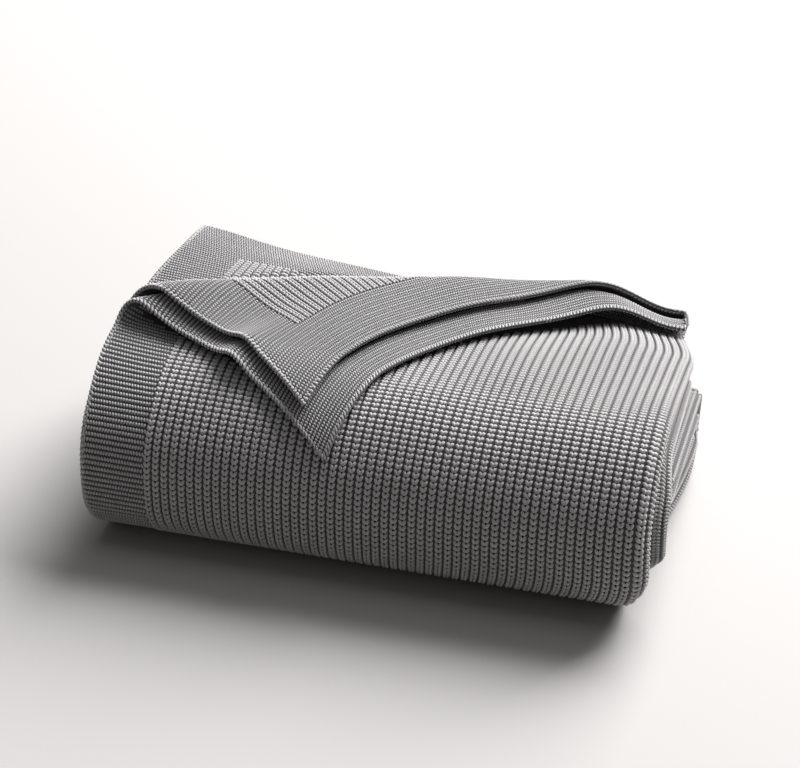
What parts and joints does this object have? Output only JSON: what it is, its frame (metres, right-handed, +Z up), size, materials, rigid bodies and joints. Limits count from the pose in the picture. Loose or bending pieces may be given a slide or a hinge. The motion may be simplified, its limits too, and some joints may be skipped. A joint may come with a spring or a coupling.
{
  "type": "folded rib-knit blanket",
  "caption": "Thick knitted cotton blanket, folded in half both ways and over in thirds, with two layers turned back at one corner.",
  "frame": {"origin": "centre of the underside of the folded blanket's box, on the surface it lies on", "axes": "+X runs from the open edges at the left to the fold at the right, +Y from the rounded front to the back, +Z up"},
  "size_m": [0.6514, 0.4318, 0.242],
  "materials": {
    "cloth": "matt mid grey cotton knit"
  },
  "bodies": {
    "root": {"blanket": "cloth"}
  },
  "joints": []
}
